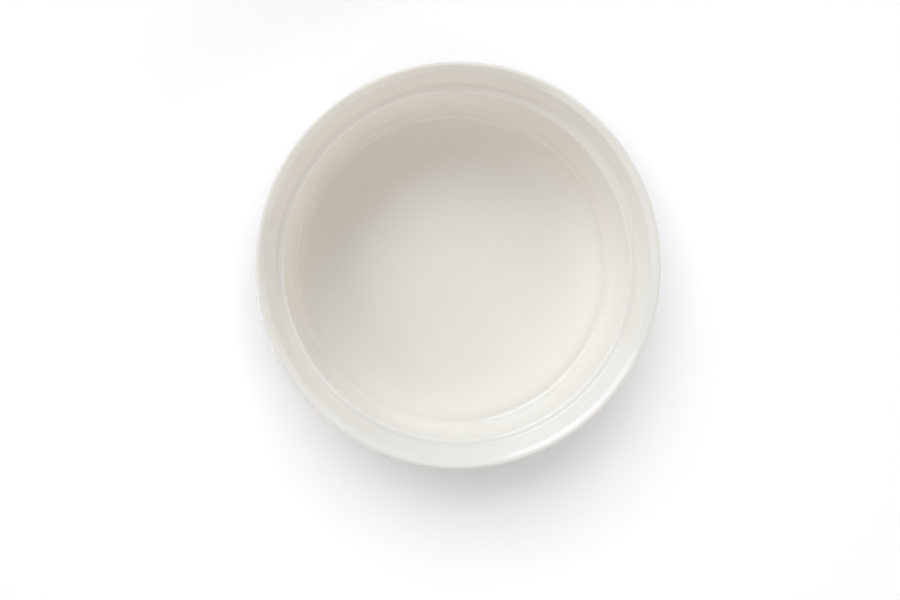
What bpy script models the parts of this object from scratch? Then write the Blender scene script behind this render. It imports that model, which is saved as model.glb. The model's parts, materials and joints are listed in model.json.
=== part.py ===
"""A round glazed porcelain evaporating dish: a flat floor, a steep wall and a stepped rim.

It is one fired piece. The cast body is porcelain_body, and the glaze fused to it is glaze_coat, which
covers the inside, the rim and the outside down to the foot. The foot and the underside stay bare.
Both are turned from one outline, so the coat's inner face is exactly the body's glazed face.
The origin is on the axis, in the plane that the foot stands on. Units are metres.
"""

import math

import bpy
from mathutils import Matrix, Vector

# Driving dimensions
RIM_DIAMETER = 0.120
HEIGHT = 0.036
GLAZE_THICKNESS = 0.0003

# Inside: floor, wall and the ledge under the rim
FLOOR_HEIGHT = 0.0055
FLOOR_CORNER_RADIUS = 0.04705
FLOOR_FILLET = 0.0028
LIP_RADIUS = 0.05145
LIP_DEPTH = 0.0077
LIP_ROUNDING = 0.0014
LEDGE_WIDTH = 0.0024
LEDGE_RISE = 0.0003
LEDGE_COVE = 0.0024

# Rim: a crown that slopes up to a narrow crest, on a collar that stands out from the wall
CROWN_WIDTH = 0.0028
CROWN_DROP = 0.00115
CROWN_INNER_ROUNDING = 0.0009
CREST_WIDTH = 0.0010
CREST_ROUNDING = 0.0012
CROWN_OUTER_ROUNDING = 0.0005
COLLAR_HEIGHT = 0.0100
COLLAR_UNDERCUT = 0.0012
COLLAR_ROUNDING = 0.0013
COLLAR_COVE = 0.0015

# Outside wall, foot ring and underside
WALL_TOP_RADIUS = 0.0554
WALL_BOTTOM_RADIUS = 0.0514
WALL_BOTTOM_ROUNDING = 0.0065
FOOT_OUTER_RADIUS = 0.0420
FOOT_WIDTH = 0.0030
FOOT_HEIGHT = 0.0018
FOOT_ROUNDING = 0.0005
RECESS_HEIGHT = 0.0015

# Mesh fineness
TURNS = 48
ARC_STEP = math.radians(24)

# Colours as linear RGB, and roughness
BISCUIT_COLOUR = (0.80, 0.77, 0.71)
BISCUIT_ROUGHNESS = 0.75
GLAZE_COLOUR = (0.82, 0.80, 0.75)
GLAZE_ROUGHNESS = 0.12


def clear_scene():
    for obj in list(bpy.data.objects):
        bpy.data.objects.remove(obj, do_unlink=True)


def glazed_corners():
    """The glazed surface as corners (radius, height, rounding), from the floor's centre over the rim
    and down the outside to the foot. The material is always on the right of the path."""
    rim = RIM_DIAMETER / 2
    lip_height = HEIGHT - LIP_DEPTH
    collar_bottom = HEIGHT - COLLAR_HEIGHT
    return [
        (0.0, FLOOR_HEIGHT, 0.0),
        (FLOOR_CORNER_RADIUS, FLOOR_HEIGHT, FLOOR_FILLET),
        (LIP_RADIUS, lip_height, LIP_ROUNDING),
        (LIP_RADIUS + LEDGE_WIDTH, lip_height + LEDGE_RISE, LEDGE_COVE),
        (rim - CROWN_WIDTH, HEIGHT - CROWN_DROP, CROWN_INNER_ROUNDING),
        (rim - CREST_WIDTH, HEIGHT, CREST_ROUNDING),
        (rim, HEIGHT, CROWN_OUTER_ROUNDING),
        (rim, collar_bottom, COLLAR_ROUNDING),
        (WALL_TOP_RADIUS, collar_bottom - COLLAR_UNDERCUT, COLLAR_COVE),
        (WALL_BOTTOM_RADIUS, FOOT_HEIGHT, WALL_BOTTOM_ROUNDING),
        (FOOT_OUTER_RADIUS, FOOT_HEIGHT, 0.0),
    ]


def bare_corners():
    """The unglazed surface: down the foot ring, under it, and across the recess to the axis."""
    foot_inner = FOOT_OUTER_RADIUS - FOOT_WIDTH
    return [
        (FOOT_OUTER_RADIUS, FOOT_HEIGHT, 0.0),
        (FOOT_OUTER_RADIUS, 0.0, FOOT_ROUNDING),
        (foot_inner, 0.0, FOOT_ROUNDING),
        (foot_inner, RECESS_HEIGHT, FOOT_ROUNDING),
        (0.0, RECESS_HEIGHT, 0.0),
    ]


def directions(corners, index):
    """The unit directions into and out of a corner. An end of the path has only one, given twice."""
    points = [Vector(corner[:2]) for corner in corners]
    before = points[max(index, 1)] - points[max(index, 1) - 1]
    after = points[min(index + 1, len(points) - 1)] - points[min(index, len(points) - 2)]
    return before.normalized(), after.normalized()


def inset_corners(corners, depth):
    """The corners moved into the material by depth. A hollow rounding grows and a round one shrinks."""
    moved = []
    for index, (radius, height, rounding) in enumerate(corners):
        into, out = directions(corners, index)
        right_in = Vector((into.y, -into.x))
        right_out = Vector((out.y, -out.x))
        shift = (right_in + right_out) * depth / (1 + right_in.dot(right_out))
        if rounding:
            rounding += math.copysign(depth, into.cross(out))
        moved.append((radius + shift.x, height + shift.y, rounding))
    return moved


def rounded_outline(corners):
    """The outline's points, with each rounded corner as an arc of even steps."""
    outline = []
    for index, (radius, height, rounding) in enumerate(corners):
        corner = Vector((radius, height))
        if not rounding:
            outline.append(corner)
            continue
        into, out = directions(corners, index)
        turn = math.atan2(into.cross(out), into.dot(out))
        start = corner - into * rounding * math.tan(abs(turn) / 2)
        centre = start + math.copysign(rounding, turn) * Vector((-into.y, into.x))
        steps = math.ceil(abs(turn) / ARC_STEP)
        for step in range(steps + 1):
            outline.append(centre + Matrix.Rotation(turn * step / steps, 2) @ (start - centre))
    return outline


def make_material(name, colour, roughness):
    material = bpy.data.materials.new(name)
    material.use_nodes = True
    shader = material.node_tree.nodes["Principled BSDF"]
    shader.inputs["Base Color"].default_value = (*colour, 1.0)
    shader.inputs["Roughness"].default_value = roughness
    shader.inputs["Metallic"].default_value = 0.0
    return material


def turn_on_axis(name, outline, material):
    """A solid of revolution about Z. The outline starts and ends on the axis."""
    points = [(point.x, 0.0, point.y) for point in outline]
    edges = [(index, index + 1) for index in range(len(points) - 1)]
    mesh = bpy.data.meshes.new(name)
    mesh.from_pydata(points, edges, [])
    mesh.materials.append(material)
    obj = bpy.data.objects.new(name, mesh)
    bpy.context.scene.collection.objects.link(obj)
    screw = obj.modifiers.new("turn", "SCREW")
    screw.axis = "Z"
    screw.angle = math.tau
    screw.steps = TURNS
    screw.render_steps = TURNS
    screw.use_merge_vertices = True
    screw.merge_threshold = 0.00001
    screw.use_smooth_shade = True
    return obj


def make_porcelain_body():
    """The cast body: the glazed face set back by the glaze, then the bare foot and underside."""
    face = rounded_outline(inset_corners(glazed_corners(), GLAZE_THICKNESS))
    bare = rounded_outline(bare_corners())
    return turn_on_axis(
        "porcelain_body",
        face + bare,
        make_material("biscuit", BISCUIT_COLOUR, BISCUIT_ROUGHNESS),
    )


def make_glaze_coat():
    """The glaze: out over the glazed surface to the foot, and back along the body's face."""
    surface = rounded_outline(glazed_corners())
    face = rounded_outline(inset_corners(glazed_corners(), GLAZE_THICKNESS))
    return turn_on_axis(
        "glaze_coat",
        surface + face[::-1],
        make_material("glaze", GLAZE_COLOUR, GLAZE_ROUGHNESS),
    )


def main():
    clear_scene()
    make_porcelain_body()
    make_glaze_coat()


main()
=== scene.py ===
"""The look of a round glazed porcelain dish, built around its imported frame.

Two pieces are turned from one outline: dish_biscuit is the fired body, and dish_glaze is the coat that is
fused to it. Radii are from the dish's axis, heights are from the plane that the foot stands on, and an
azimuth of 0 is towards -Y and 90 towards +X. Units are metres and degrees.
"""

import json
import math

import bpy
from mathutils import Matrix, Vector, noise


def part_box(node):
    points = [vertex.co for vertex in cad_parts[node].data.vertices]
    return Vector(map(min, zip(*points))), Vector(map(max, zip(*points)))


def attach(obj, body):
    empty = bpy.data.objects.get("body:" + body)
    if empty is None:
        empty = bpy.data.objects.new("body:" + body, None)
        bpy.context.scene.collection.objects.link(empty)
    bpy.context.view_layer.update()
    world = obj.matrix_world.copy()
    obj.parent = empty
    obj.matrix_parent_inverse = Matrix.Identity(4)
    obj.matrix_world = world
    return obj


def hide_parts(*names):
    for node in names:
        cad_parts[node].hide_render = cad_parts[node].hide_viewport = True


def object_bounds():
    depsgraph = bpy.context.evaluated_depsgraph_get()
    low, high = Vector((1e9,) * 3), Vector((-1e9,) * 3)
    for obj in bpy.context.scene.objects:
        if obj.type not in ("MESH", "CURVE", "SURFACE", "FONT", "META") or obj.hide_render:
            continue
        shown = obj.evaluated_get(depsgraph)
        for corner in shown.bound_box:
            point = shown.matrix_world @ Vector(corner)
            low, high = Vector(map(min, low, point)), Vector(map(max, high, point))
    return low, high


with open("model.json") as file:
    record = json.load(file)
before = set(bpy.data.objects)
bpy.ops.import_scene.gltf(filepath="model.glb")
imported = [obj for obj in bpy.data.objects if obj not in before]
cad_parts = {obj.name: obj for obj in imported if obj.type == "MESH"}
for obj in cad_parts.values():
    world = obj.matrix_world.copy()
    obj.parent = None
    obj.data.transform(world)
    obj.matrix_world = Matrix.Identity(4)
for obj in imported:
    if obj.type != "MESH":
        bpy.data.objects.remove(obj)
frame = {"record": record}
CAD_LOW, CAD_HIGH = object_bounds()


def mount_point(name):
    """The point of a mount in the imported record."""
    found = [mount for mount in frame["record"]["mounts"] if mount["name"] == name]
    return Vector(found[0]["pos_m"])


# Sizes that the frame gives
RIM_RADIUS = CAD_HIGH.x
HEIGHT = CAD_HIGH.z
FOOT_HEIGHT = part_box("glaze_coat")[0].z
FLOOR_HEIGHT = mount_point("inner_floor").z
FOOT_MIDDLE_RADIUS = mount_point("foot_ring").length

# Inside: floor, wall and the ledge under the rim
FLOOR_CORNER_RADIUS = 0.04705
FLOOR_FILLET = 0.0028
LIP_RADIUS = 0.05145
LIP_DEPTH = 0.0077
LIP_ROUNDING = 0.0014
LEDGE_WIDTH = 0.0024
LEDGE_RISE = 0.0003
LEDGE_COVE = 0.0024

# Rim: a crown that slopes up to a narrow crest, on a collar that stands out from the wall
CROWN_WIDTH = 0.0028
CROWN_DROP = 0.00115
CROWN_INNER_ROUNDING = 0.0009
CREST_WIDTH = 0.0010
CREST_ROUNDING = 0.0012
CROWN_OUTER_ROUNDING = 0.0005
COLLAR_HEIGHT = 0.0100
COLLAR_UNDERCUT = 0.0012
COLLAR_ROUNDING = 0.0013
COLLAR_COVE = 0.0015

# Outside wall, foot ring and underside
WALL_TOP_RADIUS = 0.0554
WALL_BOTTOM_RADIUS = 0.0514
WALL_BOTTOM_ROUNDING = 0.0065
FOOT_WIDTH = 0.0030
FOOT_OUTER_RADIUS = FOOT_MIDDLE_RADIUS + FOOT_WIDTH / 2
FOOT_INNER_RADIUS = FOOT_MIDDLE_RADIUS - FOOT_WIDTH / 2
FOOT_ROUNDING = 0.0005
RECESS_HEIGHT = 0.0015

# The glaze, and the bead where it stops short of the foot
GLAZE_THICKNESS = 0.0003
GLAZE_GAP = 0.0005
GLAZE_GAP_WANDER = 0.00018
BEAD_ROUNDING = 0.00025
BEAD_REACH = 4 * BEAD_ROUNDING
BEAD_WAVES = 6

# How far the firing and the hand finishing leave the dish from a true turning. It is narrowest
# along the line through its axis at OVAL_AZIMUTH, and its rim dips in RIM_DIP_WAVES places.
OVAL_SHRINK = 0.0003
OVAL_AZIMUTH = 90
RIM_DIP = 0.00008
RIM_DIP_WAVES = 3
RIM_DIP_START = 1.0
FINISH_DEPTH = 0.00003
FINISH_SIZE = 0.014
TOOL_MARK_DEPTH = 0.00005
TOOL_MARK_PITCH = 0.0021

# Mesh fineness
TURNS = 192
ARC_STEP = math.radians(6)
LONGEST_STEP = 0.0015
TOOL_MARK_STEP = 0.0003
SAME_PLACE = 1e-6

# How far from the glaze's edge the body is toasted, and how high up the foot it is rubbed
FLASH_REACH = 0.0008
WEAR_HEIGHT = 0.0003

# How the relief of the outline is read for the glaze: hollows pool it and take painted shade, and edges
# thin it
RELIEF_REACH = 0.0018
RELIEF_FULL = 0.00035


# ---------------------------------------------------------------- outlines


def glazed_corners():
    """The glazed surface as corners (radius, height, rounding), from the floor's centre over the rim
    and down the outside to the foot. The material is always on the right of the path."""
    lip_height = HEIGHT - LIP_DEPTH
    collar_bottom = HEIGHT - COLLAR_HEIGHT
    return [
        (0.0, FLOOR_HEIGHT, 0.0),
        (FLOOR_CORNER_RADIUS, FLOOR_HEIGHT, FLOOR_FILLET),
        (LIP_RADIUS, lip_height, LIP_ROUNDING),
        (LIP_RADIUS + LEDGE_WIDTH, lip_height + LEDGE_RISE, LEDGE_COVE),
        (RIM_RADIUS - CROWN_WIDTH, HEIGHT - CROWN_DROP, CROWN_INNER_ROUNDING),
        (RIM_RADIUS - CREST_WIDTH, HEIGHT, CREST_ROUNDING),
        (RIM_RADIUS, HEIGHT, CROWN_OUTER_ROUNDING),
        (RIM_RADIUS, collar_bottom, COLLAR_ROUNDING),
        (WALL_TOP_RADIUS, collar_bottom - COLLAR_UNDERCUT, COLLAR_COVE),
        (WALL_BOTTOM_RADIUS, FOOT_HEIGHT, WALL_BOTTOM_ROUNDING),
        (FOOT_OUTER_RADIUS, FOOT_HEIGHT, 0.0),
    ]


def bare_corners():
    """The unglazed surface: down the foot ring, under it, and across the recess to the axis."""
    return [
        (FOOT_OUTER_RADIUS, FOOT_HEIGHT + GLAZE_THICKNESS, 0.0),
        (FOOT_OUTER_RADIUS, 0.0, FOOT_ROUNDING),
        (FOOT_INNER_RADIUS, 0.0, FOOT_ROUNDING),
        (FOOT_INNER_RADIUS, RECESS_HEIGHT, FOOT_ROUNDING),
        (0.0, RECESS_HEIGHT, 0.0),
    ]


def directions(corners, index):
    """The unit directions into and out of a corner. An end of the path has only one, given twice."""
    points = [Vector(corner[:2]) for corner in corners]
    before = points[max(index, 1)] - points[max(index, 1) - 1]
    after = points[min(index + 1, len(points) - 1)] - points[min(index, len(points) - 2)]
    return before.normalized(), after.normalized()


def inset_corners(corners, depth):
    """The corners moved into the material by depth. A hollow rounding grows and a round one shrinks."""
    moved = []
    for index, (radius, height, rounding) in enumerate(corners):
        into, out = directions(corners, index)
        right_in = Vector((into.y, -into.x))
        right_out = Vector((out.y, -out.x))
        shift = (right_in + right_out) * depth / (1 + right_in.dot(right_out))
        if rounding:
            rounding += math.copysign(depth, into.cross(out))
        moved.append((radius + shift.x, height + shift.y, rounding))
    return moved


def rounded_outline(corners):
    """The outline's points, with each rounded corner as an arc of even steps."""
    outline = []
    for index, (radius, height, rounding) in enumerate(corners):
        corner = Vector((radius, height))
        if not rounding:
            outline.append(corner)
            continue
        into, out = directions(corners, index)
        turn = math.atan2(into.cross(out), into.dot(out))
        start = corner - into * rounding * math.tan(abs(turn) / 2)
        centre = start + math.copysign(rounding, turn) * Vector((-into.y, into.x))
        steps = math.ceil(abs(turn) / ARC_STEP)
        for step in range(steps + 1):
            outline.append(centre + Matrix.Rotation(turn * step / steps, 2) @ (start - centre))
    return outline


def divided(outline, longest):
    """The outline with every stretch cut into pieces no longer than that."""
    points = [outline[0]]
    for before, after in zip(outline, outline[1:]):
        parts = max(1, math.ceil((after - before).length / longest))
        points += [before.lerp(after, part / parts) for part in range(1, parts + 1)]
    return points


def relief(outline):
    """For each point, how hollow (above 0) or how edged (below 0) the outline is there, from -1 to 1."""
    values = []
    for index, point in enumerate(outline):
        into = outline[max(index - 1, 0)]
        out = outline[min(index + 1, len(outline) - 1)]
        along = (out - into).normalized()
        left = Vector((-along.y, along.x))
        total, weight = 0.0, 0.0
        for other, before, after in zip(outline[1:-1], outline, outline[2:]):
            near = math.exp(-((other - point).length / RELIEF_REACH) ** 2)
            share = near * (after - before).length
            total += share * (other - point).dot(left)
            weight += share
        values.append(max(-1.0, min(1.0, total / weight / RELIEF_FULL)))
    return values


# ---------------------------------------------------------------- pieces


def fired(radius, height, angle):
    """Where a point of the turning ends up: a little oval, dipping at the rim, and softly uneven."""
    lift = height / HEIGHT
    oval = math.cos(2 * (angle - math.radians(OVAL_AZIMUTH - 90)))
    reach = radius - OVAL_SHRINK * lift * radius / RIM_RADIUS * (1 + oval) / 2
    sunk = height - RIM_DIP * lift * lift * (1 + math.cos(RIM_DIP_WAVES * angle + RIM_DIP_START)) / 2
    place = Vector((reach * math.cos(angle), reach * math.sin(angle), sunk))
    uneven = noise.noise(place / FINISH_SIZE) - 1
    settled = FINISH_DEPTH * lift * uneven / 2
    return place + Vector((math.cos(angle), math.sin(angle), 1)) * settled


def turned_mesh(name, outline, place):
    """A closed turning about the axis. place(index, angle) gives a point of the outline in space."""
    rings, points = [], []
    for index, point in enumerate(outline):
        turns = 1 if point.x < SAME_PLACE else TURNS
        rings.append([len(points) + turn for turn in range(turns)])
        points += [place(index, math.tau * turn / TURNS) for turn in range(turns)]
    faces = []
    for inner, outer in zip(rings, rings[1:]):
        for turn in range(TURNS):
            after = (turn + 1) % TURNS
            corners = [inner[after % len(inner)], inner[turn % len(inner)]]
            corners += [outer[turn % len(outer)], outer[after % len(outer)]]
            faces.append(list(dict.fromkeys(corners)))
    mesh = bpy.data.meshes.new(name)
    mesh.from_pydata(points, [], faces)
    mesh.shade_smooth()
    mesh["rings"] = [len(ring) for ring in rings]
    return mesh


def store_on_points(mesh, name, values):
    """One value for each point of the outline, kept on all the vertices of its ring."""
    spread = [value for value, count in zip(values, mesh["rings"]) for _ in range(count)]
    mesh.attributes.new(name, "FLOAT", "POINT").data.foreach_set("value", spread)


def add_piece(mesh, material):
    mesh.materials.append(material)
    piece = bpy.data.objects.new(mesh.name, mesh)
    bpy.context.scene.collection.objects.link(piece)
    return piece


def make_glaze_piece(material):
    """The coat: out over the glazed surface to a rounded bead by the foot, and back along the body."""
    corners = glazed_corners()
    face = inset_corners(corners, GLAZE_THICKNESS)
    bead = FOOT_OUTER_RADIUS + GLAZE_GAP
    corners[-1] = (bead, FOOT_HEIGHT, BEAD_ROUNDING)
    corners.append((bead, FOOT_HEIGHT + GLAZE_THICKNESS, 0.0))
    face[-1] = (bead, FOOT_HEIGHT + GLAZE_THICKNESS, 0.0)
    surface = divided(rounded_outline(corners), LONGEST_STEP)
    outline = surface + divided(rounded_outline(face), LONGEST_STEP)[-2::-1]

    def place(index, angle):
        point = outline[index]
        near = max(0.0, 1 - (point - Vector(face[-1][:2])).length / BEAD_REACH)
        wander = noise.noise(Vector((math.cos(angle), math.sin(angle), 0)) * BEAD_WAVES)
        radius = point.x + near * GLAZE_GAP_WANDER * wander
        return fired(radius, point.y, angle)

    mesh = turned_mesh("dish_glaze", outline, place)
    store_on_points(mesh, "relief", relief(surface) + [0.0] * (len(outline) - len(surface)))
    return add_piece(mesh, material)


def make_biscuit_piece(material):
    """The body: the glazed face set back by the coat, then the bare foot ring and the turned underside."""
    face = divided(rounded_outline(inset_corners(glazed_corners(), GLAZE_THICKNESS)), LONGEST_STEP)
    bare = rounded_outline(bare_corners())
    foot = divided(bare[:-1], LONGEST_STEP)
    recess = divided(bare[-2:], TOOL_MARK_STEP)
    outline = face[:-1] + foot + recess[1:]

    def place(index, angle):
        point = outline[index]
        height = point.y
        if abs(point.y - RECESS_HEIGHT) < SAME_PLACE and point.x < FOOT_INNER_RADIUS:
            turn = math.tau * point.x / TOOL_MARK_PITCH - angle
            fade = min(1.0, point.x / FOOT_WIDTH, (FOOT_INNER_RADIUS - point.x) / FOOT_WIDTH)
            height += TOOL_MARK_DEPTH * max(0.0, fade) * (1 - math.cos(turn)) / 2
        return fired(point.x, height, angle)

    mesh = turned_mesh("dish_biscuit", outline, place)
    line = Vector((FOOT_OUTER_RADIUS, FOOT_HEIGHT))
    store_on_points(mesh, "flash", [math.exp(-(point - line).length / FLASH_REACH) for point in outline])
    store_on_points(mesh, "wear", [max(0.0, 1 - point.y / WEAR_HEIGHT) for point in outline])
    return add_piece(mesh, material)


# ---------------------------------------------------------------- materials

# Colours, as linear RGB
GLAZE_PALE = (0.925, 0.904, 0.845)
GLAZE_WARM = (0.913, 0.886, 0.819)
# Colour of the hollows: deeper pooled glaze, with painted shade
GLAZE_POOLED_SHADE = (0.901, 0.866, 0.784)
GLAZE_THIN = (0.936, 0.919, 0.872)
GLAZE_SPECK = (0.45, 0.36, 0.26)
BISCUIT_PALE = (0.800, 0.775, 0.725)
BISCUIT_WARM = (0.770, 0.735, 0.670)
BISCUIT_FLASH = (0.68, 0.53, 0.38)
BISCUIT_RUBBED = (0.60, 0.585, 0.55)
BISCUIT_SPECK = (0.30, 0.24, 0.18)
FLOOR_PALE = (0.93, 0.93, 0.93)

# The glaze's gloss and patterns. Sizes, spacings, radii and depths are in metres.
GLAZE_IOR = 1.5
GLAZE_SPECULAR_LEVEL = 0.35
GLAZE_ROUGHNESS_LOW = 0.08
GLAZE_ROUGHNESS_HIGH = 0.13
GLAZE_MOTTLE_SIZE = 0.030
GLAZE_CLOUD_SIZE = 0.018
GLAZE_RELIEF_STRENGTH = 0.5
GLAZE_SPECK_SPACING = 0.004
GLAZE_SPECK_RADIUS = 0.00022
GLAZE_SPECK_SHARE = 0.10
GLAZE_SPECK_STRENGTH = 0.35
RIPPLE_SIZE = 0.012
RIPPLE_DEPTH = 0.00003
FINE_RIPPLE_SIZE = 0.0022
FINE_RIPPLE_DEPTH = 0.0000035

# The bare body's gloss and patterns, in the same way
BISCUIT_IOR = 1.45
BISCUIT_ROUGHNESS_LOW = 0.68
BISCUIT_ROUGHNESS_HIGH = 0.84
BISCUIT_MOTTLE_SIZE = 0.009
BISCUIT_FLASH_STRENGTH = 0.55
BISCUIT_SPECK_SPACING = 0.003
BISCUIT_SPECK_RADIUS = 0.00015
BISCUIT_SPECK_SHARE = 0.15
BISCUIT_SPECK_STRENGTH = 0.5
RUB_PATCH_SIZE = 0.005
RUB_COLOUR_STRENGTH = 0.5
RUB_POLISH = 0.25
LUMP_SIZE = 0.0030
LUMP_DEPTH = 0.00004
GRAIN_SIZE = 0.0004
GRAIN_DEPTH = 0.00003

SPECK_SOFT_EDGE = 0.02
FLOOR_ROUGHNESS = 0.9


def new_material(name):
    """A material with its node tree, its shader and the coordinates of the object, in metres."""
    material = bpy.data.materials.new(name)
    material.use_nodes = True
    tree = material.node_tree
    place = tree.nodes.new("ShaderNodeTexCoord").outputs["Object"]
    return material, tree, tree.nodes["Principled BSDF"], place


def feed(tree, socket, value):
    """Links a node's output to the socket, or sets it to a constant."""
    if isinstance(value, bpy.types.NodeSocket):
        tree.links.new(value, socket)
    else:
        socket.default_value = value


def noise_pattern(tree, place, size, detail=2.0, roughness=0.5, distortion=0.0):
    """Noise from 0 to 1, with features of about that size."""
    node = tree.nodes.new("ShaderNodeTexNoise")
    feed(tree, node.inputs["Vector"], place)
    node.inputs["Scale"].default_value = 1 / size
    node.inputs["Detail"].default_value = detail
    node.inputs["Roughness"].default_value = roughness
    node.inputs["Distortion"].default_value = distortion
    return node.outputs["Fac"]


def speck_pattern(tree, place, spacing, radius, share):
    """1 inside round specks of about that radius, in that share of the cells, and 0 elsewhere."""
    node = tree.nodes.new("ShaderNodeTexVoronoi")
    feed(tree, node.inputs["Vector"], place)
    node.inputs["Scale"].default_value = 1 / spacing
    split = tree.nodes.new("ShaderNodeSeparateColor")
    feed(tree, split.inputs["Color"], node.outputs["Color"])
    chosen = arithmetic(tree, "LESS_THAN", split.outputs["Red"], share)
    size = arithmetic(tree, "MULTIPLY", split.outputs["Green"], radius / spacing)
    dot = remap(tree, arithmetic(tree, "SUBTRACT", size, node.outputs["Distance"]), 0.0, SPECK_SOFT_EDGE)
    return arithmetic(tree, "MULTIPLY", chosen, dot)


def arithmetic(tree, operation, first, second):
    node = tree.nodes.new("ShaderNodeMath")
    node.operation = operation
    feed(tree, node.inputs[0], first)
    feed(tree, node.inputs[1], second)
    return node.outputs[0]


def remap(tree, value, low, high, new_low=0.0, new_high=1.0):
    node = tree.nodes.new("ShaderNodeMapRange")
    feed(tree, node.inputs["Value"], value)
    node.inputs["From Min"].default_value = low
    node.inputs["From Max"].default_value = high
    node.inputs["To Min"].default_value = new_low
    node.inputs["To Max"].default_value = new_high
    return node.outputs["Result"]


def blend_colours(tree, share, first, second):
    node = tree.nodes.new("ShaderNodeMix")
    node.data_type = "RGBA"
    feed(tree, node.inputs["Factor"], share)
    for socket, colour in ((node.inputs[6], first), (node.inputs[7], second)):
        feed(tree, socket, (*colour, 1.0) if isinstance(colour, tuple) else colour)
    return node.outputs[2]


def attribute(tree, name):
    node = tree.nodes.new("ShaderNodeAttribute")
    node.attribute_name = name
    return node.outputs["Fac"]


def bumps(tree, shader, heights):
    """Chains one bump for each (pattern, depth in metres), broadest first."""
    before = None
    for pattern, depth in heights:
        node = tree.nodes.new("ShaderNodeBump")
        node.inputs["Strength"].default_value = 1.0
        node.inputs["Distance"].default_value = depth
        feed(tree, node.inputs["Height"], pattern)
        if before:
            feed(tree, node.inputs["Normal"], before)
        before = node.outputs["Normal"]
    feed(tree, shader.inputs["Normal"], before)


def make_glaze_material():
    """Ivory glaze: glossy, mottled very faintly, darker and warmer in hollows as pooled glaze and painted
    shade, and paler where it thins.
    """
    material, tree, shader, place = new_material("ivory_glaze")
    mottle = remap(tree, noise_pattern(tree, place, GLAZE_MOTTLE_SIZE, 3.0), 0.35, 0.65)
    colour = blend_colours(tree, mottle, GLAZE_PALE, GLAZE_WARM)
    # Hollows are painted darker and warmer: partly pooled glaze, partly painted shade in the floor's
    # corner, the ledge's cove and under the collar
    hollow = remap(tree, attribute(tree, "relief"), 0.0, 1.0, 0.0, GLAZE_RELIEF_STRENGTH)
    colour = blend_colours(tree, hollow, colour, GLAZE_POOLED_SHADE)
    edge = remap(tree, attribute(tree, "relief"), 0.0, -1.0, 0.0, GLAZE_RELIEF_STRENGTH)
    colour = blend_colours(tree, edge, colour, GLAZE_THIN)
    specks = speck_pattern(
        tree, place, GLAZE_SPECK_SPACING, GLAZE_SPECK_RADIUS, GLAZE_SPECK_SHARE
    )
    specks = arithmetic(tree, "MULTIPLY", specks, GLAZE_SPECK_STRENGTH)
    colour = blend_colours(tree, specks, colour, GLAZE_SPECK)
    feed(tree, shader.inputs["Base Color"], colour)
    cloud = noise_pattern(tree, place, GLAZE_CLOUD_SIZE, 4.0)
    cloud = remap(tree, cloud, 0.3, 0.7, GLAZE_ROUGHNESS_LOW, GLAZE_ROUGHNESS_HIGH)
    feed(tree, shader.inputs["Roughness"], cloud)
    shader.inputs["IOR"].default_value = GLAZE_IOR
    shader.inputs["Specular IOR Level"].default_value = GLAZE_SPECULAR_LEVEL
    bumps(
        tree,
        shader,
        [
            (noise_pattern(tree, place, RIPPLE_SIZE, 1.0), RIPPLE_DEPTH),
            (noise_pattern(tree, place, FINE_RIPPLE_SIZE, 1.0), FINE_RIPPLE_DEPTH),
        ],
    )
    return material


def make_biscuit_material():
    """Bare fired porcelain: matt and fine grained, toasted beside the glaze, rubbed where it stands."""
    material, tree, shader, place = new_material("bare_biscuit")
    mottle = remap(tree, noise_pattern(tree, place, BISCUIT_MOTTLE_SIZE, 4.0), 0.3, 0.7)
    colour = blend_colours(tree, mottle, BISCUIT_PALE, BISCUIT_WARM)
    flash = arithmetic(tree, "MULTIPLY", attribute(tree, "flash"), BISCUIT_FLASH_STRENGTH)
    colour = blend_colours(tree, flash, colour, BISCUIT_FLASH)
    patchy = remap(tree, noise_pattern(tree, place, RUB_PATCH_SIZE, 3.0), 0.35, 0.65)
    rubbed = arithmetic(tree, "MULTIPLY", attribute(tree, "wear"), patchy)
    rub_share = arithmetic(tree, "MULTIPLY", rubbed, RUB_COLOUR_STRENGTH)
    colour = blend_colours(tree, rub_share, colour, BISCUIT_RUBBED)
    specks = speck_pattern(
        tree, place, BISCUIT_SPECK_SPACING, BISCUIT_SPECK_RADIUS, BISCUIT_SPECK_SHARE
    )
    specks = arithmetic(tree, "MULTIPLY", specks, BISCUIT_SPECK_STRENGTH)
    colour = blend_colours(tree, specks, colour, BISCUIT_SPECK)
    feed(tree, shader.inputs["Base Color"], colour)
    grain = noise_pattern(tree, place, GRAIN_SIZE, 3.0)
    matt = remap(tree, grain, 0.3, 0.7, BISCUIT_ROUGHNESS_LOW, BISCUIT_ROUGHNESS_HIGH)
    polish = arithmetic(tree, "MULTIPLY", rubbed, RUB_POLISH)
    matt = arithmetic(tree, "SUBTRACT", matt, polish)
    feed(tree, shader.inputs["Roughness"], matt)
    shader.inputs["IOR"].default_value = BISCUIT_IOR
    bumps(
        tree,
        shader,
        [(noise_pattern(tree, place, LUMP_SIZE, 2.0), LUMP_DEPTH), (grain, GRAIN_DEPTH)],
    )
    return material


# ---------------------------------------------------------------- studio

FLOOR_REACH = 5.0
LIGHT_DISTANCE = 2.0
CAMERA_AZIMUTH = -52.4
CAMERA_ELEVATION = 86.4
CAMERA_DISTANCE = 2.0
AIM_OFFSET = Vector((-0.0025, -0.0104, 0.0))
VIEW_WIDTH = 0.2646
SENSOR_WIDTH = 36.0

# Lamp colours, as linear RGB
COOL = (0.88, 0.92, 1.0)
WARM = (1.0, 0.96, 0.92)
NEUTRAL = (0.98, 0.98, 1.0)

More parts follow.
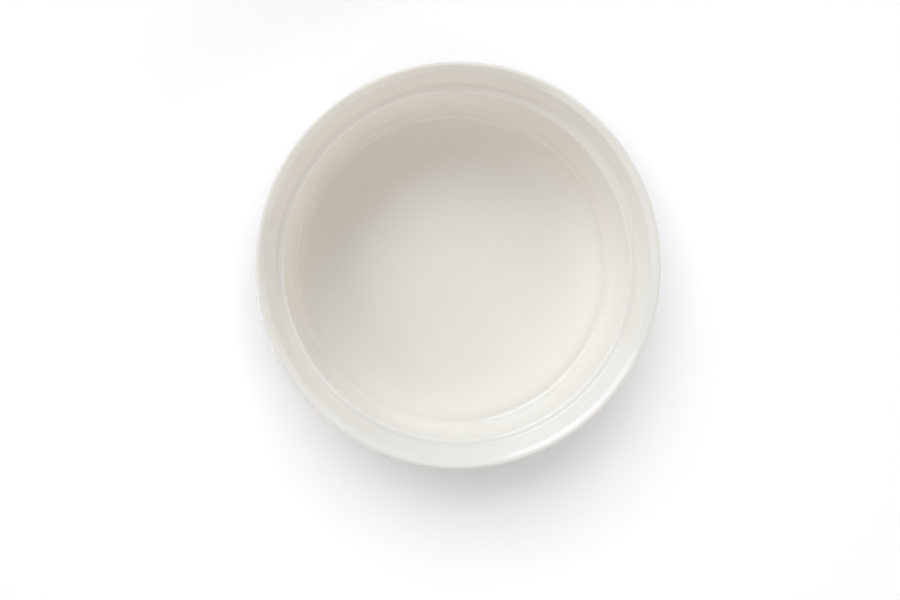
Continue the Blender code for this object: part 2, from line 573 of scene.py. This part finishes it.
# What lights the dish, and what lights the floor round it.
# name: colour, azimuth, elevation, width, height, radiance
DISH_SOFTBOXES = {
    "key": (COOL, -145, 35, 1.6, 0.9, 5.0),
    "back": (COOL, 180, 35, 3.0, 0.9, 1.2),
    "left": (WARM, -60, 35, 2.4, 0.9, 2.0),
    "right": (WARM, 120, 30, 1.5, 0.9, 1.6),
    "front": (WARM, 45, 20, 2.4, 0.9, 2.0),
    "overhead": (WARM, 45, 75, 1.2, 0.9, 2.4),
}
FLOOR_SOFTBOXES = {
    "floor_high": (NEUTRAL, -160, 60, 2.6, 1.6, 2.8),
    "floor_front": (NEUTRAL, 20, 30, 3.0, 0.9, 2.5),
    "floor_overhead": (NEUTRAL, 0, 88, 1.6, 1.6, 2.0),
}
SKY_PALE = 0.9


def direction(azimuth, elevation):
    turn = math.radians(azimuth)
    rise = math.radians(elevation)
    return Vector((math.sin(turn) * math.cos(rise), -math.cos(turn) * math.cos(rise), math.sin(rise)))


def make_floor_material():
    """Plain, pale and matt."""
    material, _, shader, _ = new_material("pale_floor")
    shader.inputs["Base Color"].default_value = (*FLOOR_PALE, 1.0)
    shader.inputs["Roughness"].default_value = FLOOR_ROUGHNESS
    shader.inputs["Specular IOR Level"].default_value = 0.0
    return material


def make_floor():
    """A plain pale floor, far larger than the dish."""
    reach = FLOOR_REACH
    mesh = bpy.data.meshes.new("floor")
    mesh.from_pydata(
        [(-reach, -reach, 0), (reach, -reach, 0), (reach, reach, 0), (-reach, reach, 0)],
        [],
        [(0, 1, 2, 3)],
    )
    floor = add_piece(mesh, make_floor_material())
    return floor


def group(name, objects):
    """A collection that a lamp can be told to light, and nothing else."""
    lit = bpy.data.collections.new(name)
    for obj in objects:
        lit.objects.link(obj)
    return lit


def add_softbox(name, lit, colour, azimuth, elevation, width, height, radiance):
    """A rectangular softbox that faces the dish. It lights one group and is not itself in any view."""
    lamp = bpy.data.lights.new(name, "AREA")
    lamp.shape = "RECTANGLE"
    lamp.color = colour
    lamp.size = width
    lamp.size_y = height
    lamp.energy = radiance * math.pi * width * height
    softbox = bpy.data.objects.new(name, lamp)
    bpy.context.scene.collection.objects.link(softbox)
    towards = direction(azimuth, elevation)
    softbox.location = Vector((0, 0, HEIGHT)) + towards * LIGHT_DISTANCE
    softbox.rotation_euler = (-towards).to_track_quat("-Z", "Y").to_euler()
    softbox.visible_camera = False
    softbox.light_linking.receiver_collection = lit


def make_world():
    """A pale surround that is only seen. The softboxes do all the lighting."""
    world = bpy.data.worlds.new("studio")
    world.use_nodes = True
    background = world.node_tree.nodes["Background"]
    background.inputs["Color"].default_value = (1.0, 1.0, 1.0, 1.0)
    background.inputs["Strength"].default_value = SKY_PALE
    world.cycles_visibility.diffuse = False
    world.cycles_visibility.glossy = False
    bpy.context.scene.world = world


def make_camera():
    """Looks down at the dish from a little to one side of its axis, from far enough to flatten it."""
    rim_centre = Vector((0, 0, HEIGHT))
    position = rim_centre + direction(CAMERA_AZIMUTH, CAMERA_ELEVATION) * CAMERA_DISTANCE
    back = (position - rim_centre - AIM_OFFSET).normalized()
    right = (Vector((1, 0, 0)) - back * back.x).normalized()
    up = back.cross(right)
    lens = bpy.data.cameras.new("camera")
    lens.sensor_width = SENSOR_WIDTH
    lens.lens = SENSOR_WIDTH * CAMERA_DISTANCE / VIEW_WIDTH
    camera = bpy.data.objects.new("camera", lens)
    bpy.context.scene.collection.objects.link(camera)
    camera.location = position
    camera.rotation_euler = Matrix((right, up, back)).transposed().to_euler()
    bpy.context.scene.camera = camera


def main():
    glaze = make_glaze_piece(make_glaze_material())
    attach(glaze, "root")
    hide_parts("glaze_coat")
    biscuit = make_biscuit_piece(make_biscuit_material())
    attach(biscuit, "root")
    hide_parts("porcelain_body")
    floor = make_floor()
    make_world()
    dish_lit = group("lit_dish", [glaze, biscuit])
    for name, settings in DISH_SOFTBOXES.items():
        add_softbox(name, dish_lit, *settings)
    floor_lit = group("lit_floor", [floor])
    for name, settings in FLOOR_SOFTBOXES.items():
        add_softbox(name, floor_lit, *settings)
    make_camera()
    bpy.context.scene.view_settings.view_transform = "Standard"


main()
